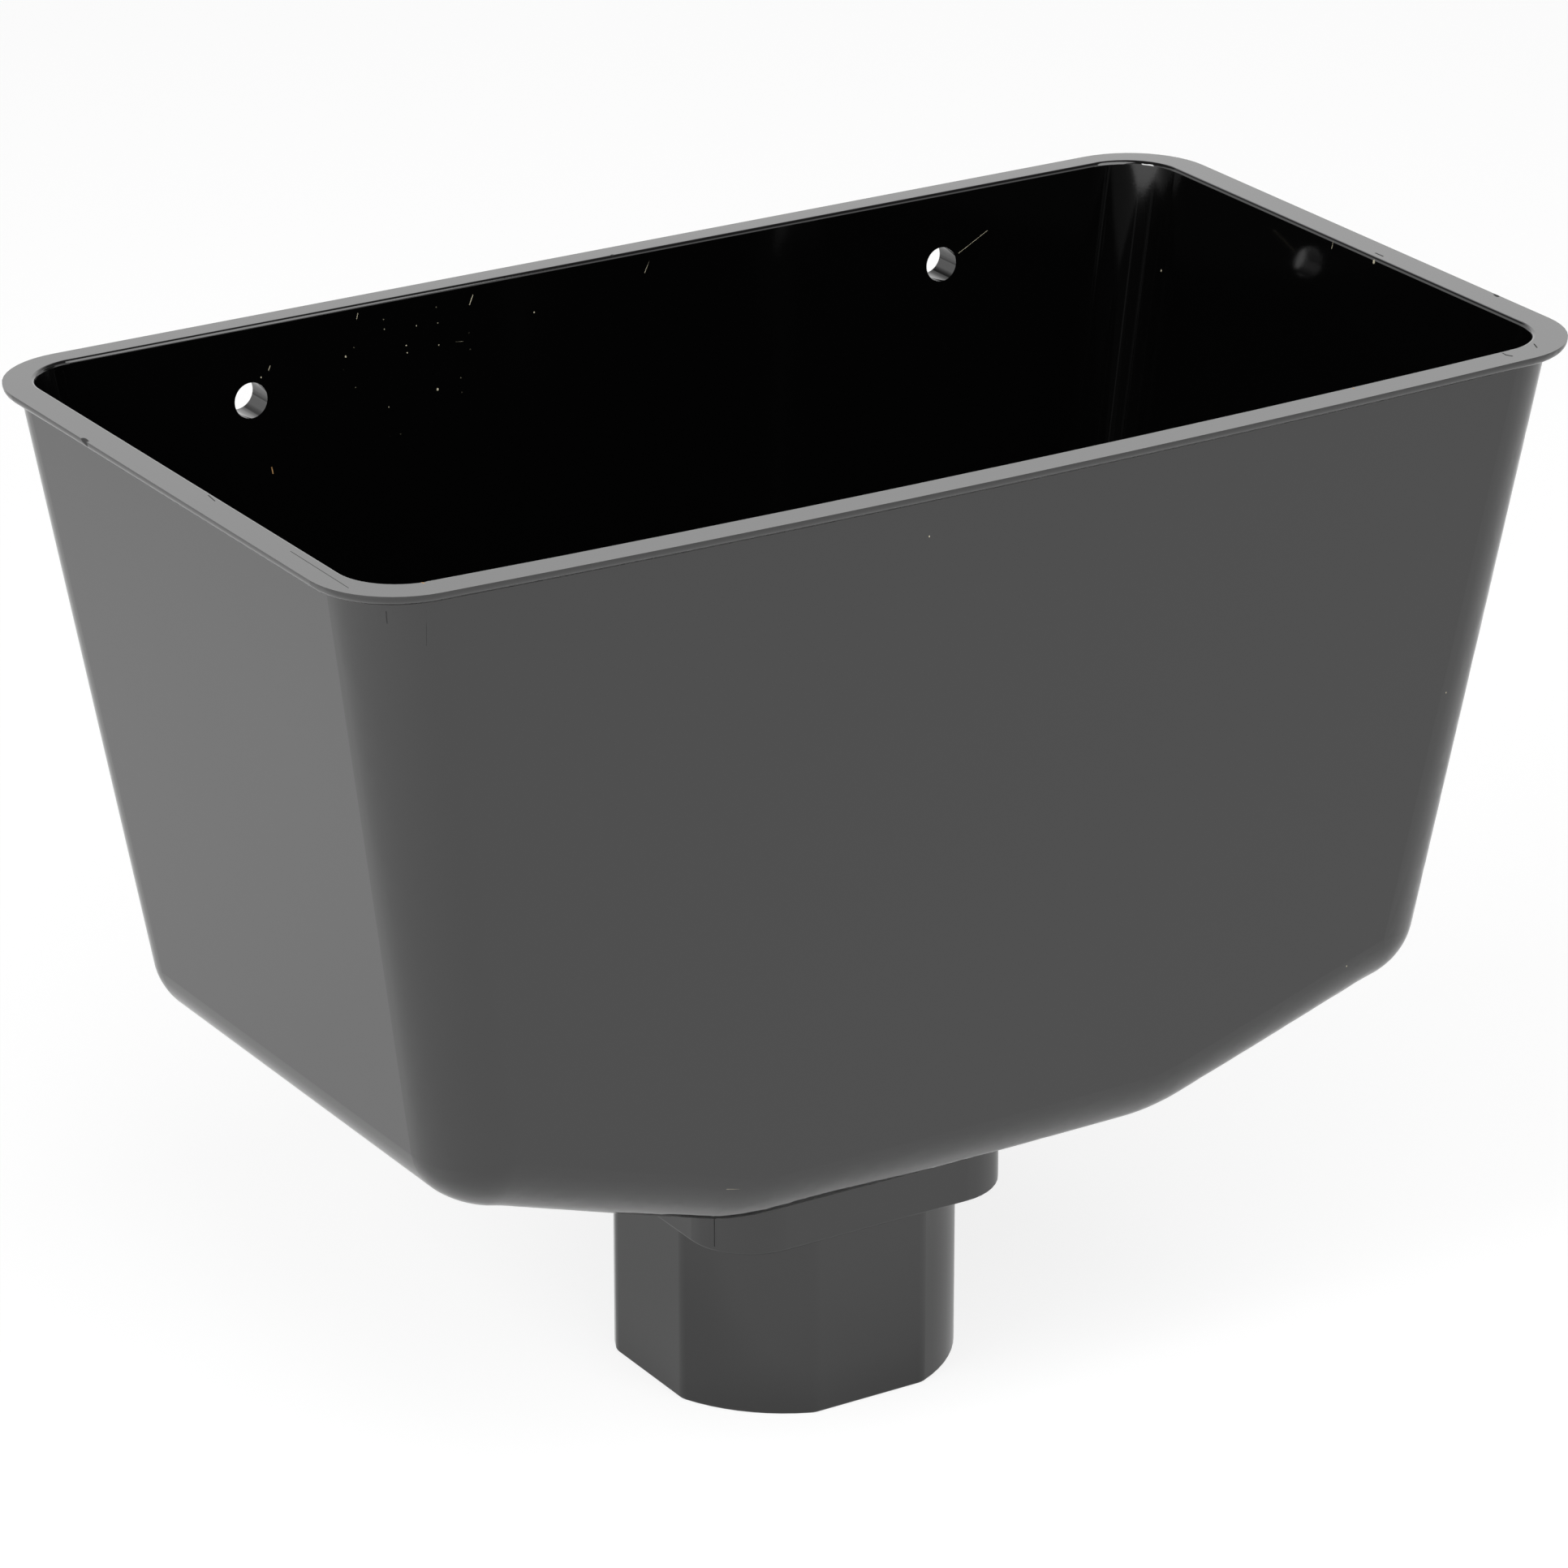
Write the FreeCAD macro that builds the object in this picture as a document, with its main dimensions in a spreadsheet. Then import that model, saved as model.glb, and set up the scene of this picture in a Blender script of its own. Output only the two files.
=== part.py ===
import FreeCAD, Part
import math
import os
import Sketcher

# Downpipe hopper head, moulded in one piece.
# Origin: midway between the two wall screws, on the wall plane. +X runs along the wall, +Y points into
# the wall and +Z is up, so the basin lies at negative Y and its outlet points down.

SIZES = [
    ("rim_width", 256.5, "length of the rim along the wall"),
    ("rim_projection", 145.7, "wall plane to the middle of the rim's bowed front"),
    ("rim_corner", 16.5, "plan radius of the rim's corners"),
    ("rim_thickness", 2, "depth of the flange at the rim"),
    ("rim_land", 0.15, "upright edge left above the lip's rounding"),
    ("rim_inner_round", 0.7, "rounding where the flat rim turns down into the basin"),
    ("front_bow", 2140, "plan radius of the bowed front"),
    ("end_overhang", 3.1, "rim past the basin at each end"),
    ("front_overhang", 3.4, "rim past the basin at the front"),
    ("rear_overhang", 1.9, "rim past the basin at the rear"),
    ("basin_corner", 14.1, "plan radius of the basin's upright corners"),
    ("basin_height", 140.4, "top of the rim to the underside of the floor"),
    ("end_draft", 9.6, "lean of the end walls, in degrees"),
    ("front_draft", 5.1, "lean of the front wall, in degrees"),
    ("rear_draft", 3.6, "lean of the rear wall, in degrees"),
    ("floor_width", 89.4, "length of the flat floor along the wall"),
    ("floor_slope", 17.4, "rise of the sloping floors, in degrees"),
    ("floor_bend", 41, "radius where flat floor and sloping floor meet"),
    ("lower_round", 12.6, "radius round the lower edge of the basin"),
    ("wall", 2.9, "thickness of the moulding"),
    ("outlet_setback", 68.7, "wall plane to the axis of the outlet"),
    ("collar_size", 65, "width of the square collar under the floor"),
    ("collar_corner", 12.6, "radius of the collar's corners"),
    ("collar_height", 20.2, "depth of the collar under the floor"),
    ("spigot_size", 59.8, "width of the spigot across its flats"),
    ("spigot_across", 64.3, "diameter of the round that cuts off the spigot's corners"),
    ("spigot_crease", 4, "rounding where a flat of the spigot meets a corner"),
    ("spigot_length", 36.5, "length of the spigot under the collar"),
    ("moulded_edge", 0.5, "small rounding on the edges of collar and spigot"),
    ("screw_spacing", 150, "distance between the two wall screws"),
    ("screw_drop", 14, "top of the rim to the wall screws"),
    ("screw_hole", 6.7, "diameter of the screw holes"),
    ("pad_diameter", 16, "diameter of the pads behind the screw holes"),
]

# Levels, as heights above the wall screws.
RIM_TOP = "Sizes.screw_drop"
FLOOR = "Sizes.screw_drop - Sizes.basin_height"
LEDGE = FLOOR + " - Sizes.collar_height"
OUTLET = LEDGE + " - Sizes.spigot_length"
REAR_AT_SCREWS = "Sizes.rear_overhang + Sizes.screw_drop * tan(Sizes.rear_draft * 1 deg)"
WALL = "Sizes.wall"

UP = FreeCAD.Vector(0, 0, 1)

# The corner of a sketch's own axes, and how close two levels are to count as one.
ORIGIN_POINT = (-1, 1)
CLOSE = 1e-4


def make_sheet(doc):
    """The driving sizes, one to a row, in millimetres and degrees."""
    sheet = doc.addObject("Spreadsheet::Sheet", "Sizes")
    for row, (alias, size, meaning) in enumerate(SIZES, start=1):
        sheet.set(f"A{row}", alias)
        sheet.set(f"B{row}", str(size))
        sheet.set(f"C{row}", meaning)
        sheet.setAlias(f"B{row}", alias)
    doc.recompute()


def number(owner, expression):
    """What an expression of the sheet's sizes comes to."""
    return float(owner.evalExpression(expression))


def new_sketch(body, plane_role, name, height="0"):
    """A sketch on one of the body's own planes, raised by a height."""
    sketch = body.newObject("Sketcher::SketchObject", name)
    plane = next(part for part in body.Origin.OriginFeatures if part.Role == plane_role)
    sketch.AttachmentSupport = [(plane, "")]
    sketch.MapMode = "FlatFace"
    sketch.setExpression("AttachmentOffset.Base.z", height)
    return sketch


def dimension(sketch, name, expression, kind, *where):
    """A named driving dimension, bound to the sheet."""
    index = sketch.addConstraint(Sketcher.Constraint(kind, *where, number(sketch, expression)))
    sketch.renameConstraint(index, name)
    sketch.setExpression(f"Constraints.{name}", expression)


def line(start, end):
    return Part.LineSegment(FreeCAD.Vector(*start, 0), FreeCAD.Vector(*end, 0))


def arc(centre, radius, first_angle, last_angle):
    circle = Part.Circle(FreeCAD.Vector(*centre, 0), UP, radius)
    return Part.ArcOfCircle(circle, first_angle, last_angle)


def draw_plan(sketch, name, half, rear, front, corner):
    """A plan outline: straight rear and ends, round corners and a front that is one flat arc."""
    bow = "Sizes.front_bow"
    x, back, nose, r, big = (number(sketch, size) for size in (half, rear, front, corner, bow))
    inset = x - r
    hub = big - nose
    front_y = hub - math.sqrt((big - r) ** 2 - inset ** 2)
    right = math.atan2(front_y - hub, inset)
    left = -math.pi - right
    edges = sketch.addGeometry([
        line((-inset, -back), (inset, -back)),
        arc((inset, -back - r), r, 0, math.pi / 2),
        line((x, -back - r), (x, front_y)),
        arc((inset, front_y), r, right, 0),
        arc((0, hub), big, left, right),
        arc((-inset, front_y), r, math.pi, left),
        line((-x, front_y), (-x, -back - r)),
        arc((-inset, -back - r), r, math.pi / 2, math.pi),
    ])
    rear_line, rear_right, right_line, front_right, front_arc, front_left, left_line, rear_left = edges
    joints = [
        (rear_line, 2, rear_right, 2), (rear_right, 1, right_line, 1),
        (right_line, 2, front_right, 2), (front_right, 1, front_arc, 2),
        (front_arc, 1, front_left, 2), (front_left, 1, left_line, 1),
        (left_line, 2, rear_left, 2), (rear_left, 1, rear_line, 1),
    ]
    rules = [Sketcher.Constraint("Tangent", *joint) for joint in joints]
    rules.append(Sketcher.Constraint("Horizontal", rear_line))
    rules.append(Sketcher.Constraint("Vertical", right_line))
    rules.append(Sketcher.Constraint("Vertical", left_line))
    for corner_arc in (front_right, front_left, rear_left):
        rules.append(Sketcher.Constraint("Equal", rear_right, corner_arc))
    rules.append(Sketcher.Constraint("Vertical", *ORIGIN_POINT, front_arc, 3))
    sketch.addConstraint(rules)
    dimension(sketch, name + "_corner", corner, "Radius", rear_right)
    dimension(sketch, name + "_bow", bow, "Radius", front_arc)
    dimension(sketch, name + "_right", half, "DistanceX", *ORIGIN_POINT, right_line, 1)
    dimension(sketch, name + "_left", half, "DistanceX", left_line, 2, *ORIGIN_POINT)
    dimension(sketch, name + "_rear", rear, "DistanceY", rear_line, 2, *ORIGIN_POINT)
    dimension(sketch, name + "_hub", f"{bow} - ({front})", "DistanceY", *ORIGIN_POINT, front_arc, 3)


def draw_polygon(sketch, corners):
    """A closed outline of straight lines, every corner placed by its own pair of dimensions.

    corners: name, x expression and y expression of each corner, in order.
    """
    places = [(number(sketch, x), number(sketch, y)) for _, x, y in corners]
    edges = sketch.addGeometry([line(here, there) for here, there in zip(places, places[1:] + places[:1])])
    for edge, after in zip(edges, edges[1:] + edges[:1]):
        sketch.addConstraint(Sketcher.Constraint("Coincident", edge, 2, after, 1))
    for edge, (name, x, y) in zip(edges, corners):
        dimension(sketch, name + "_x", x, "DistanceX", *ORIGIN_POINT, edge, 1)
        dimension(sketch, name + "_y", y, "DistanceY", *ORIGIN_POINT, edge, 1)


def draw_square(sketch, half):
    """A square round the outlet's axis."""
    rear = f"-Sizes.outlet_setback + {half}"
    front = f"-Sizes.outlet_setback - {half}"
    draw_polygon(sketch, [
        ("rear_right", half, rear), ("front_right", half, front),
        ("front_left", f"-({half})", front), ("rear_left", f"-({half})", rear),
    ])


def draw_spigot(sketch, half, radius):
    """A square round the outlet's axis, its corners cut off by a circle round the same axis."""
    axis = "Sizes.outlet_setback"
    flat, cut, back = (number(sketch, size) for size in (half, radius, axis))
    turn = math.acos(flat / cut)

    def spot(angle):
        return cut * math.cos(angle), cut * math.sin(angle) - back

    edges = []
    for quarter in range(4):
        middle = quarter * math.pi / 2
        edges += sketch.addGeometry([
            line(spot(middle - turn), spot(middle + turn)),
            arc((0, -back), cut, middle + turn, middle + math.pi / 2 - turn),
        ])
    right, rear, left, front = edges[0::2]
    corner, *other_corners = edges[1::2]
    for edge, after in zip(edges, edges[1:] + edges[:1]):
        sketch.addConstraint(Sketcher.Constraint("Coincident", edge, 2, after, 1))
    for other in other_corners:
        sketch.addConstraint(Sketcher.Constraint("Coincident", corner, 3, other, 3))
        sketch.addConstraint(Sketcher.Constraint("Equal", corner, other))
    for upright in (right, left):
        sketch.addConstraint(Sketcher.Constraint("Vertical", upright))
    for level in (rear, front):
        sketch.addConstraint(Sketcher.Constraint("Horizontal", level))
    sketch.addConstraint(Sketcher.Constraint("Vertical", *ORIGIN_POINT, corner, 3))
    dimension(sketch, "axis", axis, "DistanceY", corner, 3, *ORIGIN_POINT)
    dimension(sketch, "cut", radius, "Radius", corner)
    dimension(sketch, "right", half, "DistanceX", corner, 3, right, 1)
    dimension(sketch, "left", half, "DistanceX", left, 1, corner, 3)
    dimension(sketch, "rear", half, "DistanceY", corner, 3, rear, 1)
    dimension(sketch, "front", half, "DistanceY", front, 1, corner, 3)


def draw_screw_circles(sketch, diameter):
    """One circle round each wall screw."""
    half = "Sizes.screw_spacing / 2"
    for name, place in (("right", half), ("left", f"-{half}")):
        centre = FreeCAD.Vector(number(sketch, place), 0, 0)
        circle = sketch.addGeometry(Part.Circle(centre, UP, number(sketch, diameter) / 2))
        sketch.addConstraint(Sketcher.Constraint("Horizontal", *ORIGIN_POINT, circle, 3))
        dimension(sketch, name + "_size", diameter, "Diameter", circle)
        dimension(sketch, name + "_place", place, "DistanceX", *ORIGIN_POINT, circle, 3)


def extrude(body, kind, name, sketch, length, reverse=False, both_ways=False):
    """A pad or pocket of a sketch, its length bound to the sheet; it has to change the volume."""
    before = body.Tip.Shape.Volume if body.Tip else 0
    feature = body.newObject("PartDesign::" + kind, name)
    feature.Profile = sketch
    feature.Reversed = reverse
    if both_ways:
        feature.SideType = "Symmetric"
    feature.setExpression("Length", length)
    body.Document.recompute()
    changed = feature.Shape.Volume - before
    if (changed <= 0) if kind == "Pad" else (changed >= 0):
        raise ValueError(f"{name} changes the volume by {changed:.1f}")
    return feature


def round_edges(body, name, chosen, radius):
    """A fillet along the edges of the body that a test picks out."""
    base = body.Tip
    names = [f"Edge{i}" for i, edge in enumerate(base.Shape.Edges, start=1) if chosen(base.Shape, edge)]
    fillet = body.newObject("PartDesign::Fillet", name)
    fillet.Base = (base, names)
    fillet.setExpression("Radius", radius)
    body.Document.recompute()
    return fillet


def at_height(level):
    """Picks the edges that lie flat at a level."""
    return lambda shape, edge: edge.BoundBox.ZLength < CLOSE and abs(edge.BoundBox.ZMin - level) < CLOSE


def upright_between(low, high):
    """Picks the straight upright edges within two levels."""
    def chosen(shape, edge):
        box = edge.BoundBox
        upright = box.XLength < CLOSE and box.YLength < CLOSE
        return upright and box.ZMin > low - CLOSE and box.ZMax < high + CLOSE
    return chosen


def face_slopes(shape, edge):
    """The upward part of the normal of each face beside an edge."""
    middle = edge.valueAt((edge.FirstParameter + edge.LastParameter) / 2)
    faces = shape.ancestorsOfType(edge, Part.Face)
    return [face.normalAt(*face.Surface.parameter(middle)).z for face in faces]


def side(slope):
    """A wall of the basin, which leans a little outwards."""
    return -0.6 < slope < 0.1


def underside(slope):
    """The flat or a sloping floor, seen from below."""
    return slope < -0.8


def where(first, second):
    """Picks the edges that join a face of one kind to a face of another."""
    def chosen(shape, edge):
        slopes = sorted(face_slopes(shape, edge))
        return len(slopes) == 2 and first(slopes[0]) and second(slopes[1])
    return chosen


def make_basin_form(body, inset):
    """The basin as a solid form, drawn in by an inset: none for its outside, the wall for its inside.

    Its front view is padded along the wall's normal, then cut to the lean of the rear and to the lean
    and bow of the front, and rounded. Each rounding is smaller by the inset, so that the wall is even.
    """
    end, rear, front, slope = (
        f"(Sizes.{name} * 1 deg)" for name in ("end_draft", "rear_draft", "front_draft", "floor_slope"))
    height = f"(Sizes.basin_height - {inset})"
    floor = f"({FLOOR} + {inset})"
    top_half = f"(Sizes.rim_width / 2 - Sizes.end_overhang - {inset} / cos({end}))"
    floor_half = f"(Sizes.floor_width / 2 - {inset} * tan({slope} / 2))"
    rise = f"({top_half} - {height} * tan({end}) - {floor_half}) / (1 / tan({slope}) - tan({end}))"
    shoulder_half = f"({floor_half} + {rise} / tan({slope}))"
    rear_top = f"(Sizes.rear_overhang + {inset} / cos({rear}))"
    front_top = f"(Sizes.rim_projection - Sizes.front_overhang - {inset} / cos({front}))"

    front_view = new_sketch(body, "XZ_Plane", "FrontView")
    draw_polygon(front_view, [
        ("top_left", f"-{top_half}", RIM_TOP), ("top_right", top_half, RIM_TOP),
        ("shoulder_right", shoulder_half, f"{floor} + {rise}"), ("floor_right", floor_half, floor),
        ("floor_left", f"-{floor_half}", floor), ("shoulder_left", f"-{shoulder_half}", f"{floor} + {rise}"),
    ])
    extrude(body, "Pad", "Block", front_view, "Sizes.rim_projection")

    side_view = new_sketch(body, "YZ_Plane", "RearLean")
    draw_polygon(side_view, [
        ("wall_top", "0", RIM_TOP), ("rear_top", f"-{rear_top}", RIM_TOP),
        ("rear_floor", f"-({rear_top} + {height} * tan({rear}))", floor), ("wall_floor", "0", floor),
    ])
    extrude(body, "Pocket", "RearCut", side_view, "Sizes.rim_width", both_ways=True)

    bow = new_sketch(body, "XY_Plane", "FrontBow", RIM_TOP)
    bow.setExpression("AttachmentOffset.Base.y", f"-{front_top}")
    bow.AttachmentOffset.Rotation.Axis = FreeCAD.Vector(1, 0, 0)
    bow.setExpression("AttachmentOffset.Rotation.Angle", front)
    draw_bow(bow, f"Sizes.front_bow - {inset}")
    reach = "2 * (Sizes.basin_height + Sizes.rim_projection)"
    extrude(body, "Pocket", "FrontCut", bow, reach, both_ways=True)

    round_edges(body, "UprightCorners", where(side, side), f"Sizes.basin_corner - {inset}")
    round_edges(body, "FloorBends", where(underside, underside), f"Sizes.floor_bend - {inset}")
    round_edges(body, "LowerEdge", where(underside, side), f"Sizes.lower_round - {inset}")


def draw_bow(sketch, radius):
    """What lies in front of the bowed wall: a flat arc through the sketch's origin, closed by a box."""
    half, depth = "Sizes.rim_width / 2", "Sizes.rim_projection / 2"
    big, x, front = (number(sketch, size) for size in (radius, half, depth))
    back = big - math.sqrt(big ** 2 - x ** 2)
    right = math.atan2(back - big, x)
    curve, right_line, front_line, left_line = sketch.addGeometry([
        arc((0, big), big, -math.pi - right, right),
        line((x, back), (x, -front)),
        line((x, -front), (-x, -front)),
        line((-x, -front), (-x, back)),
    ])
    sketch.addConstraint([
        Sketcher.Constraint("Coincident", curve, 2, right_line, 1),
        Sketcher.Constraint("Coincident", right_line, 2, front_line, 1),
        Sketcher.Constraint("Coincident", front_line, 2, left_line, 1),
        Sketcher.Constraint("Coincident", left_line, 2, curve, 1),
        Sketcher.Constraint("Vertical", right_line),
        Sketcher.Constraint("Horizontal", front_line),
        Sketcher.Constraint("Vertical", left_line),
        Sketcher.Constraint("Vertical", *ORIGIN_POINT, curve, 3),
    ])
    dimension(sketch, "bow", radius, "Radius", curve)
    dimension(sketch, "hub", radius, "DistanceY", *ORIGIN_POINT, curve, 3)
    dimension(sketch, "right", half, "DistanceX", *ORIGIN_POINT, right_line, 1)
    dimension(sketch, "left", half, "DistanceX", left_line, 2, *ORIGIN_POINT)
    dimension(sketch, "depth", depth, "DistanceY", front_line, 1, *ORIGIN_POINT)


def on_upright_side(shape, edge):
    """Whether one of the faces beside an edge stands exactly upright."""
    return min(abs(slope) for slope in face_slopes(shape, edge)) < CLOSE


def make_rim(body):
    """The flange over the basin: flat on top, its lip a quarter round."""
    plan = new_sketch(body, "XY_Plane", "RimPlan", RIM_TOP)
    draw_plan(plan, "rim", "Sizes.rim_width / 2", "0", "Sizes.rim_projection", "Sizes.rim_corner")
    extrude(body, "Pad", "Rim", plan, "Sizes.rim_thickness", reverse=True)
    under = at_height(number(plan, f"{RIM_TOP} - Sizes.rim_thickness"))

    def lip(shape, edge):
        return under(shape, edge) and on_upright_side(shape, edge)

    round_edges(body, "RimLip", lip, "Sizes.rim_thickness - Sizes.rim_land")


def make_collar_form(body, inset, top, bottom):
    """The square collar under the floor, its outside or the well inside it."""
    plan = new_sketch(body, "XY_Plane", "CollarPlan", bottom)
    draw_square(plan, f"(Sizes.collar_size / 2 - {inset})")
    extrude(body, "Pad", "Collar", plan, f"{top} - ({bottom})")
    corners = upright_between(number(plan, bottom), number(plan, top))
    round_edges(body, "CollarCorners", corners, f"Sizes.collar_corner - {inset}")


def make_spigot_form(body, inset, top, bottom):
    """The spigot that enters the downpipe, its outside or the bore inside it."""
    plan = new_sketch(body, "XY_Plane", "SpigotPlan", bottom)
    draw_spigot(plan, f"(Sizes.spigot_size / 2 - {inset})", f"(Sizes.spigot_across / 2 - {inset})")
    extrude(body, "Pad", "Spigot", plan, f"{top} - ({bottom})")


def make_outlet(body):
    """The collar under the basin and the spigot under the collar, with their edges rounded."""
    make_collar_form(body, "0", FLOOR, LEDGE)
    round_edges(body, "CollarEdge", at_height(number(body, LEDGE)), "Sizes.moulded_edge")
    make_spigot_form(body, "0", LEDGE, OUTLET)
    creases = upright_between(number(body, OUTLET), number(body, LEDGE))
    round_edges(body, "SpigotCreases", creases, "Sizes.spigot_crease")
    round_edges(body, "SpigotEdge", at_height(number(body, OUTLET)), "Sizes.moulded_edge")


def make_screw_pads(body):
    """The two round pads behind the rear wall, flush with the rim, on which the head bears on the wall."""
    plan = new_sketch(body, "XZ_Plane", "PadPlan")
    draw_screw_circles(plan, "Sizes.pad_diameter")
    extrude(body, "Pad", "ScrewPads", plan, f"{REAR_AT_SCREWS} + Sizes.wall / 2")


def make_core(doc):
    """The space inside: the basin, the collar's well, the spigot's bore and the screw holes."""
    core = doc.addObject("PartDesign::Body", "Core")
    make_basin_form(core, WALL)
    make_collar_form(core, WALL, f"{FLOOR} + {WALL}", f"{LEDGE} + {WALL}")
    make_spigot_form(core, WALL, f"{LEDGE} + {WALL}", OUTLET)
    holes = new_sketch(core, "XZ_Plane", "HolePlan")
    draw_screw_circles(holes, "Sizes.screw_hole")
    extrude(core, "Pad", "ScrewHoles", holes, f"{REAR_AT_SCREWS} + 2 * {WALL}")
    return core


def take_out(body, core):
    """Empties the moulding of its core and rounds the mouth."""
    hollow = body.newObject("PartDesign::Boolean", "Hollow")
    hollow.Type = "Cut"
    hollow.Group = [core]
    body.Document.recompute()
    top = at_height(number(body, RIM_TOP))

    def mouth(shape, edge):
        return top(shape, edge) and not on_upright_side(shape, edge)

    round_edges(body, "RimMouth", mouth, "Sizes.rim_inner_round")


def write_part(doc, body):
    """Writes the moulding, after checking that every object is sound."""
    for item in doc.Objects:
        if "Invalid" in item.State or "Error" in item.State:
            raise ValueError(f"{item.Label} is {item.State}")
    shape = body.Shape
    if shape.isNull() or not shape.isValid() or len(shape.Solids) != 1:
        raise ValueError(f"{body.Label} is not one valid solid")
    os.makedirs("parts", exist_ok=True)
    shape.exportStep(f"parts/{body.Label}.step")
    box = shape.optimalBoundingBox(False)
    print(f"{body.Label}: {shape.Volume / 1000:.1f} cubic centimetres,")
    print(f"{box.XLength:.2f} x {box.YLength:.2f} x {box.ZLength:.2f} mm")


def main():
    doc = FreeCAD.newDocument("HopperHead")
    make_sheet(doc)
    body = doc.addObject("PartDesign::Body", "Moulding")
    body.Label = "hopper_head"
    body.Placement = FreeCAD.Placement()
    make_basin_form(body, "0")
    make_rim(body)
    make_outlet(body)
    make_screw_pads(body)
    take_out(body, make_core(doc))
    write_part(doc, body)


main()
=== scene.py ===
import math

import bpy
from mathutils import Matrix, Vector


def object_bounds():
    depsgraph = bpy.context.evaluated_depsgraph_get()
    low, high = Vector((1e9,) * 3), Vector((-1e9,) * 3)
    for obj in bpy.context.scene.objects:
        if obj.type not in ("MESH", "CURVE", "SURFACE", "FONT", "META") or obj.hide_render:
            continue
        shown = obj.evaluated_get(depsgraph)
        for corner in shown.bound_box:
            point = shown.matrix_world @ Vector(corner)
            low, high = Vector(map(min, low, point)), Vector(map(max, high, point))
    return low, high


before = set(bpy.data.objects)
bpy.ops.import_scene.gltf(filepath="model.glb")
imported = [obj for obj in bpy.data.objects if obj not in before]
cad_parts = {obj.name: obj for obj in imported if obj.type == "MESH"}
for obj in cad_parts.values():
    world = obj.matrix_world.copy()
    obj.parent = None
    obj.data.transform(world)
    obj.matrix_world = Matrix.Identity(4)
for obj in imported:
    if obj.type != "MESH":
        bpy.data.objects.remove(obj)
cad_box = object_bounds()

MM = 0.001


def linear(hex_colour):
    """An sRGB hex colour as the linear red, green, blue and alpha of a shader socket."""
    channels = [int(hex_colour[place:place + 2], 16) / 255 for place in (1, 3, 5)]
    return [c / 12.92 if c <= 0.04045 else ((c + 0.055) / 1.055) ** 2.4 for c in channels] + [1.0]


def node(tree, kind, sockets=None, **properties):
    """Adds a node. Each socket, by name or number, is fed by another node's output or set to a value."""
    made = tree.nodes.new("ShaderNode" + kind)
    for name, value in properties.items():
        setattr(made, name, value)
    for name, value in (sockets or {}).items():
        if isinstance(value, bpy.types.NodeSocket):
            tree.links.new(value, made.inputs[name])
        else:
            made.inputs[name].default_value = value
    return made


def new_material(name):
    """A material with an empty node tree."""
    material = bpy.data.materials.new(name)
    material.use_nodes = True
    material.node_tree.nodes.clear()
    return material, material.node_tree


def fading(tree, value, start, end, last=0.0):
    """One up to the start value, falling to the last at the end value."""
    return node(tree, "MapRange", {"Value": value, "From Min": start, "From Max": end,
                                   "To Min": 1.0, "To Max": last}).outputs[0]


# Camera: the photograph is taken from the left of the front and from above, with a long lens.
SENSOR = 36
LENS = 169.12
CAMERA_PLACE = Vector((-665.0, -1132.4, 441.0)) * MM
CAMERA_TARGET = Vector((-109.1, -243.2, 14.0)) * MM

camera_data = bpy.data.cameras.new("camera")
camera_data.sensor_width = SENSOR
camera_data.lens = LENS
camera = bpy.data.objects.new("camera", camera_data)
camera.location = CAMERA_PLACE
camera.rotation_euler = (CAMERA_TARGET - CAMERA_PLACE).to_track_quat("-Z", "Y").to_euler()
bpy.context.scene.collection.objects.link(camera)
bpy.context.scene.camera = camera


# Studio: a white paper floor in a white room, with softboxes in front, behind the object and at its left.
lowest = Vector(cad_box[0])
middle = (lowest + Vector(cad_box[1])) / 2
WHITE = linear("#ffffff")

# The paper: half its length in metres, its colour, and the even white and the part with the shadow that the
# camera sees together.
FLOOR_HALF = 4.0
PAPER = linear("#f2f2f2")
PAPER_GLOW = 0.8
PAPER_SHADE = linear("#858585")
# How far the gloss sees the paper as the camera does, and how far it sees the room's walls.
PAPER_IN_GLOSS = 0.3
WALLS_IN_GLOSS = 1.0

# The walls are white up to one height and ceiling grey from another (sines of the angle above level). The
# room's light is what it sheds on the object.
WALL_TOP = 0.45
CEILING_START = 0.6
CEILING_GREY = 0.12
ROOM_LIGHT = 0.26

# A black screen in front on the right keeps the wall's white out of the basin's right rear corner: the way
# to it from the object, and how many degrees from there it is black and where it ends.
SCREEN_WAY = (0.905, -0.27, 0.325)
SCREEN_CORE, SCREEN_EDGE = 11.5, 18.0
SCREEN_BLACK = 0.1

# Lamps: name, place and size in metres, and power in watts.
LAMPS = [
    ("front_softbox", (0.05, -1.55, 1.6), 2.2, 44),
    ("back_softbox", (1.6, 2.4, 0.9), 3.0, 13),
    ("left_softbox", (-0.95, -0.25, 0.55), 0.5, 9),
]


def seen_white(tree, gloss_share):
    """How far a ray sees the white: the camera's and a transmitted one fully, a glossy one by its share."""
    rays = node(tree, "LightPath").outputs
    gloss = node(tree, "Math", {0: rays["Is Glossy Ray"], 1: gloss_share, 2: rays["Is Camera Ray"]},
                 operation="MULTIPLY_ADD")
    return node(tree, "Math", {0: gloss.outputs[0], 1: rays["Is Transmission Ray"]},
                operation="ADD").outputs[0]


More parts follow.
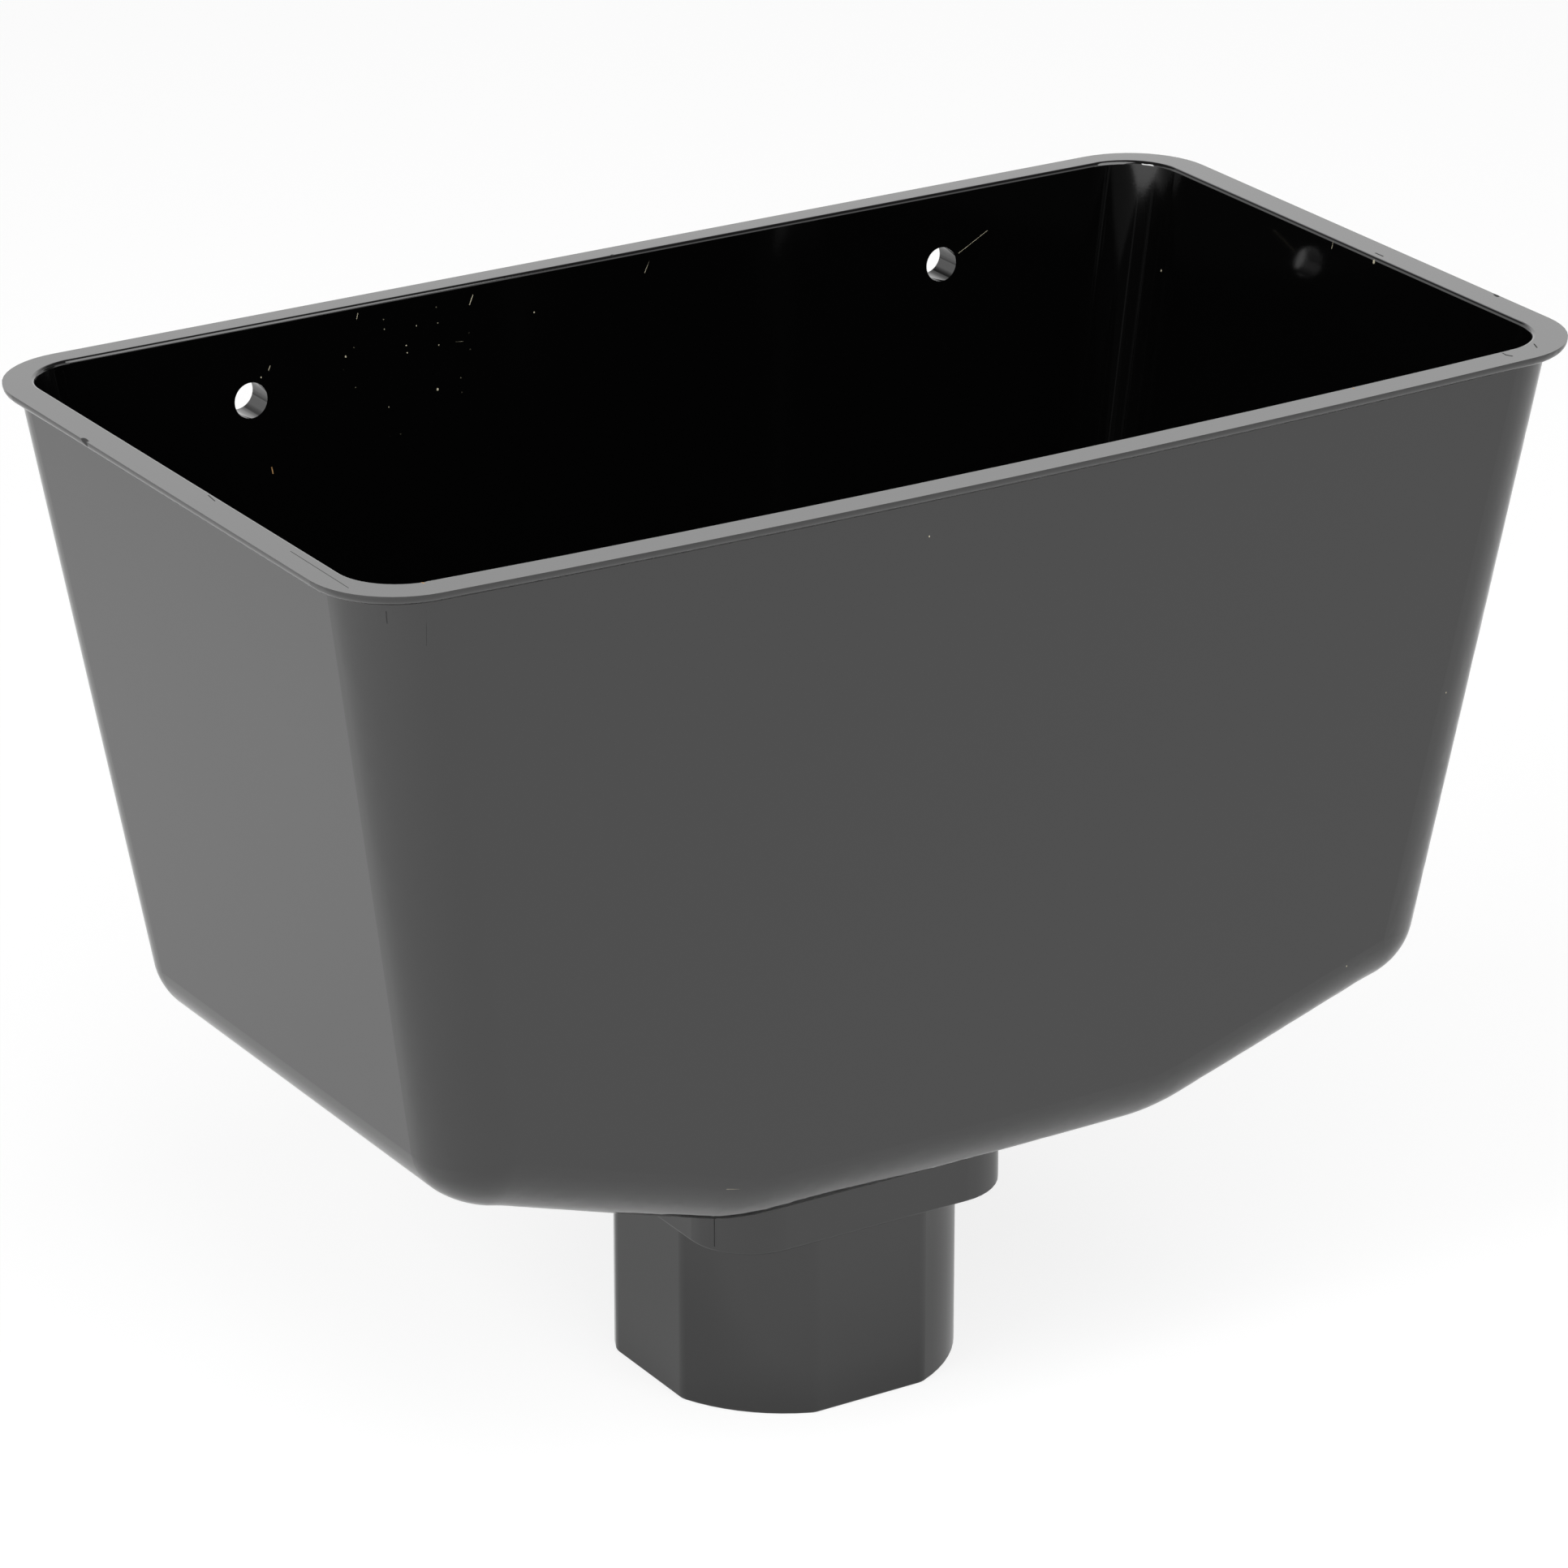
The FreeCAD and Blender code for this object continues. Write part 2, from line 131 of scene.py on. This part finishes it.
def make_floor():
    """White paper under the outlet: near white to the camera, with a soft shadow, and plain to the rest."""
    mesh = bpy.data.meshes.new("floor")
    corners = [(x * FLOOR_HALF, y * FLOOR_HALF, lowest.z) for x, y in ((-1, -1), (1, -1), (1, 1), (-1, 1))]
    mesh.from_pydata(corners, [], [(0, 1, 2, 3)])
    floor = bpy.data.objects.new("floor", mesh)
    bpy.context.scene.collection.objects.link(floor)
    material, tree = new_material("matt_white_paper")
    paper = node(tree, "BsdfDiffuse", {"Color": PAPER})
    glow = node(tree, "Emission", {"Color": WHITE, "Strength": PAPER_GLOW})
    shade = node(tree, "BsdfDiffuse", {"Color": PAPER_SHADE})
    white = node(tree, "AddShader", {0: glow.outputs[0], 1: shade.outputs[0]})
    mix = node(tree, "MixShader", {0: seen_white(tree, PAPER_IN_GLOSS), 1: paper.outputs[0],
                                   2: white.outputs[0]})
    node(tree, "OutputMaterial", {"Surface": mix.outputs[0]})
    mesh.materials.append(material)


def make_room():
    """White to the camera, the walls, ceiling and screen to the gloss, and plain soft light to the rest."""
    world = bpy.data.worlds.new("room")
    world.use_nodes = True
    tree = world.node_tree
    tree.nodes.clear()
    way = node(tree, "TexCoord").outputs["Generated"]
    height = node(tree, "SeparateXYZ", {0: way}).outputs["Z"]
    walls_and_ceiling = fading(tree, height, WALL_TOP, CEILING_START, CEILING_GREY)
    near = node(tree, "VectorMath", {0: way, 1: SCREEN_WAY}, operation="DOT_PRODUCT").outputs["Value"]
    edge, core = (math.cos(math.radians(angle)) for angle in (SCREEN_EDGE, SCREEN_CORE))
    screen = fading(tree, near, edge, core, SCREEN_BLACK)
    room = node(tree, "Math", {0: walls_and_ceiling, 1: screen}, operation="MINIMUM").outputs[0]
    camera_ray = node(tree, "LightPath").outputs["Is Camera Ray"]
    seen = node(tree, "Math", {0: room, 1: camera_ray}, operation="MAXIMUM").outputs[0]
    walls = node(tree, "Background", {"Color": WHITE, "Strength": seen})
    light = node(tree, "Background", {"Color": WHITE, "Strength": ROOM_LIGHT})
    mix = node(tree, "MixShader", {0: seen_white(tree, WALLS_IN_GLOSS), 1: light.outputs[0],
                                   2: walls.outputs[0]})
    node(tree, "OutputWorld", {"Surface": mix.outputs[0]})
    bpy.context.scene.world = world


def make_lamp(name, place, size, power):
    """A soft square lamp that faces the object."""
    data = bpy.data.lights.new(name, "AREA")
    data.size = size
    data.energy = power
    lamp = bpy.data.objects.new(name, data)
    lamp.location = place
    lamp.rotation_euler = (middle - Vector(place)).to_track_quat("-Z", "Y").to_euler()
    bpy.context.scene.collection.objects.link(lamp)


make_floor()
make_room()
for lamp_settings in LAMPS:
    make_lamp(*lamp_settings)


# The moulding's plastic. Lengths are in mm. PVC's own IOR is about 1.54: it is raised until the reflections
# are as bright as in the photograph.
PLASTIC_BLACK = linear("#040404")
PLASTIC_IOR = 1.7
GLOSS_ROUGHNESS = (0.04, 0.07)
FLOW_SPACING, FLOW_DETAIL = 70.0, 2.0
FLOW_HEIGHT, FLOW_STRENGTH = 0.4, 0.2
GRAIN_SPACING, GRAIN_DETAIL = 0.55, 1.0
GRAIN_HEIGHT, GRAIN_STRENGTH = 0.01, 0.1

GRIT = linear("#b9b29a")
TAN_GRIT = linear("#a9804c")
MARK_ROUGHNESS = 0.9
# A mark is whole up to the first share of its half width, and gone at the second.
MARK_CORE, MARK_END = 0.6, 1.2

# The cloud of specks: where it is, and how far out it is dense and where it ends. Then the specks' spacing, the
# radii at which one is whole and gone, and the share of the places that hold one.
CLOUD_PLACE = (-42.0, -5.6, 1.0)
CLOUD_CORE, CLOUD_END = 4.0, 14.0
SPECK_SPACING = 2.22
SPECK_CORE, SPECK_END = 0.09, 0.145
SPECK_SHARE = 0.12

# Handling marks on the rim and the walls: what it is, its start and end in mm, and its half width in mm.
# A dull mark is a nick or a rub that has lost its gloss. A pale one is a scratch or a speck of grit.
DULL_MARKS = [
    ("nick in the left rim's edge", (-128.1, -43.9, 14.0), (-128.1, -45.3, 13.6), 0.6),
    ("nick in the right rim's edge", (128.0, -110.4, 14.0), (127.8, -111.4, 14.0), 0.4),
    ("curl on the front rim, start", (109.0, -137.7, 14.0), (108.9, -138.8, 14.0), 0.15),
    ("curl on the front rim, end", (108.9, -138.8, 14.0), (109.4, -139.9, 14.0), 0.25),
    ("stroke at the right corner", (116.9, -136.6, 14.0), (116.1, -138.5, 14.0), 0.15),
    ("rub on the left rim, rear", (-123.1, -80.9, 14.0), (-123.5, -84.0, 14.0), 0.12),
    ("rub on the left rim, front", (-124.3, -112.4, 14.0), (-124.5, -132.7, 14.0), 0.08),
    ("rub on the right rim", (124.0, -78.8, 14.0), (124.0, -81.1, 14.0), 0.2),
    ("mark on the rear rim", (2.4, -4.2, 14.0), (2.6, -4.2, 14.0), 0.3),
    ("streak under the rim at the left corner", (-119.3, -135.9, 9.8), (-119.0, -135.6, 7.6), 0.12),
    ("fine line under the rim at the left corner", (-113.3, -138.7, 10.0), (-113.0, -138.0, 3.2), 0.05),
    ("streak at the collar's left corner", (-31.1, -94.4, -139.6), (-31.1, -94.4, -145.5), 0.15),
]
PALE_MARKS = [
    ("scratch from the right screw hole", (79.0, -5.6, 1.5), (85.8, -5.4, 4.9), 0.04),
    ("scratch high on the rear wall, left", (-52.1, -4.9, 12.4), (-52.4, -5.0, 11.4), 0.06),
    ("scratch high on the rear wall, middle", (-27.9, -4.9, 11.7), (-28.7, -5.1, 10.0), 0.08),
    ("scratch high on the rear wall, right", (10.1, -5.0, 11.7), (9.0, -5.1, 9.6), 0.05),
    ("flat scratch on the rear wall", (-32.2, -5.5, 3.5), (-30.4, -5.5, 3.3), 0.03),
    ("scratch beside the left screw hole", (-70.7, -5.3, 5.8), (-71.1, -5.4, 5.0), 0.06),
    ("speck beside the left screw hole", (-72.7, -5.4, 4.0), (-72.7, -5.4, 3.9), 0.12),
    ("brightest speck on the rear wall", (-36.3, -6.0, -4.8), (-36.3, -6.0, -4.9), 0.2),
    ("speck at the left of the cloud", (-55.1, -5.4, 4.8), (-55.1, -5.4, 4.7), 0.16),
    ("speck at the right of the cloud", (-15.1, -5.3, 6.2), (-15.1, -5.3, 6.1), 0.12),
    ("speck on the right wall", (122.1, -80.9, 13.3), (122.1, -80.9, 13.1), 0.3),
    ("speck in the right rear corner", (118.9, -16.7, -5.8), (118.9, -16.7, -5.9), 0.18),
    ("scratch on the right wall", (122.2, -67.9, 13.6), (121.9, -67.8, 12.2), 0.06),
    ("speck high on the front", (-16.1, -141.4, 4.6), (-16.1, -141.4, 4.5), 0.12),
    ("speck at the right of the front", (101.9, -134.0, -51.2), (101.9, -134.0, -51.3), 0.12),
    ("speck low on the front", (84.1, -130.1, -103.0), (84.1, -130.1, -103.1), 0.12),
    ("scratch low on the front", (-50.3, -130.0, -114.9), (-47.0, -130.0, -115.7), 0.03),
]
TAN_MARKS = [
    ("grit below the left screw hole", (-71.6, -6.5, -13.3), (-71.4, -6.6, -14.5), 0.1),
    ("grit at the mouth, front left", (-113.0, -136.7, 14.0), (-112.9, -137.4, 14.0), 0.15),
    ("grit at the mouth, front right", (74.9, -138.9, 14.0), (74.9, -139.4, 14.0), 0.12),
]


def stroke(tree, place, start, end, half_width):
    """One along a straight stroke from start to end, and nought beyond its half width."""
    start, way = Vector(start) * MM, (Vector(end) - Vector(start)) * MM
    edge = half_width * MM
    from_start = node(tree, "VectorMath", {0: place, 1: start}, operation="SUBTRACT").outputs[0]
    along = node(tree, "VectorMath", {0: from_start, 1: way / way.length_squared}, operation="DOT_PRODUCT")
    held = node(tree, "Clamp", {"Value": along.outputs["Value"]})
    nearest = node(tree, "VectorMath", {0: way, "Scale": held.outputs[0]}, operation="SCALE")
    gap = node(tree, "VectorMath", {0: from_start, 1: nearest.outputs[0]}, operation="DISTANCE")
    return fading(tree, gap.outputs["Value"], MARK_CORE * edge, MARK_END * edge)


def highest(tree, first, *others):
    """The highest of several masks."""
    for other in others:
        first = node(tree, "Math", {0: first, 1: other}, operation="MAXIMUM").outputs[0]
    return first


def strokes(tree, place, marks):
    """The masks of several marks in one."""
    return highest(tree, *(stroke(tree, place, *mark[1:]) for mark in marks))


def grit_specks(tree, place):
    """Specks of about 0.25 mm, a few to the square centimetre, in a cloud on the rear wall inside."""
    spot = node(tree, "SeparateXYZ", {0: place})
    wall = node(tree, "CombineXYZ", {0: spot.outputs[0], 1: spot.outputs[2]}).outputs[0]
    cells = node(tree, "TexVoronoi", {"Vector": wall, "Scale": 1 / (SPECK_SPACING * MM)},
                 voronoi_dimensions="2D").outputs
    dots = fading(tree, cells["Distance"], SPECK_CORE / SPECK_SPACING, SPECK_END / SPECK_SPACING)
    draw = node(tree, "SeparateXYZ", {0: cells["Color"]})
    few = node(tree, "Math", {0: draw.outputs[0], 1: 1 - SPECK_SHARE}, operation="GREATER_THAN")
    reach = node(tree, "VectorMath", {0: place, 1: Vector(CLOUD_PLACE) * MM}, operation="DISTANCE")
    cloud = fading(tree, reach.outputs["Value"], CLOUD_CORE * MM, CLOUD_END * MM)
    chosen = node(tree, "Math", {0: dots, 1: few.outputs[0]}, operation="MULTIPLY")
    return node(tree, "Math", {0: chosen.outputs[0], 1: cloud}, operation="MULTIPLY").outputs[0]


# Injection-moulded PVC-U, black: smooth and glossy from a polished tool, so that the eye sees mostly the
# white room in it, with a faint unevenness from the way the plastic flowed and shrank. The skin's own grain
# is finer than 0.1 mm and is drawn coarser, so that it shows as a slight softness of the gloss.
def make_moulded_pvc():
    """Black plastic with a long shallow wave, a fine grain, and the handling marks."""
    material, tree = new_material("injection_moulded_black_pvc_u")
    place = node(tree, "TexCoord").outputs["Object"]
    flow = node(tree, "TexNoise", {"Vector": place, "Scale": 1 / (FLOW_SPACING * MM),
                                   "Detail": FLOW_DETAIL}).outputs["Fac"]
    skin = node(tree, "TexNoise", {"Vector": place, "Scale": 1 / (GRAIN_SPACING * MM),
                                   "Detail": GRAIN_DETAIL}).outputs["Fac"]
    waves = node(tree, "Bump", {"Height": flow, "Strength": FLOW_STRENGTH,
                                "Distance": FLOW_HEIGHT * MM}).outputs[0]
    grain = node(tree, "Bump", {"Height": skin, "Normal": waves, "Strength": GRAIN_STRENGTH,
                                "Distance": GRAIN_HEIGHT * MM}).outputs[0]
    gloss = node(tree, "MapRange", {"Value": flow, "To Min": GLOSS_ROUGHNESS[0],
                                    "To Max": GLOSS_ROUGHNESS[1]}).outputs[0]

    dull = strokes(tree, place, DULL_MARKS)
    pale = highest(tree, strokes(tree, place, PALE_MARKS), grit_specks(tree, place))
    tan = strokes(tree, place, TAN_MARKS)
    colour = node(tree, "Mix", {0: pale, 6: PLASTIC_BLACK, 7: GRIT}, data_type="RGBA").outputs[2]
    colour = node(tree, "Mix", {0: tan, 6: colour, 7: TAN_GRIT}, data_type="RGBA").outputs[2]
    marked = node(tree, "Math", {0: highest(tree, dull, pale, tan), 1: MARK_ROUGHNESS},
                  operation="MULTIPLY").outputs[0]
    plastic = node(tree, "BsdfPrincipled", {"Base Color": colour, "Roughness": highest(tree, gloss, marked),
                                            "Normal": grain, "IOR": PLASTIC_IOR})
    node(tree, "OutputMaterial", {"Surface": plastic.outputs[0]})
    return material


pvc = make_moulded_pvc()
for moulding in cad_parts.values():
    moulding.data.materials.clear()
    moulding.data.materials.append(pvc)

bpy.context.scene.view_settings.view_transform = "Standard"
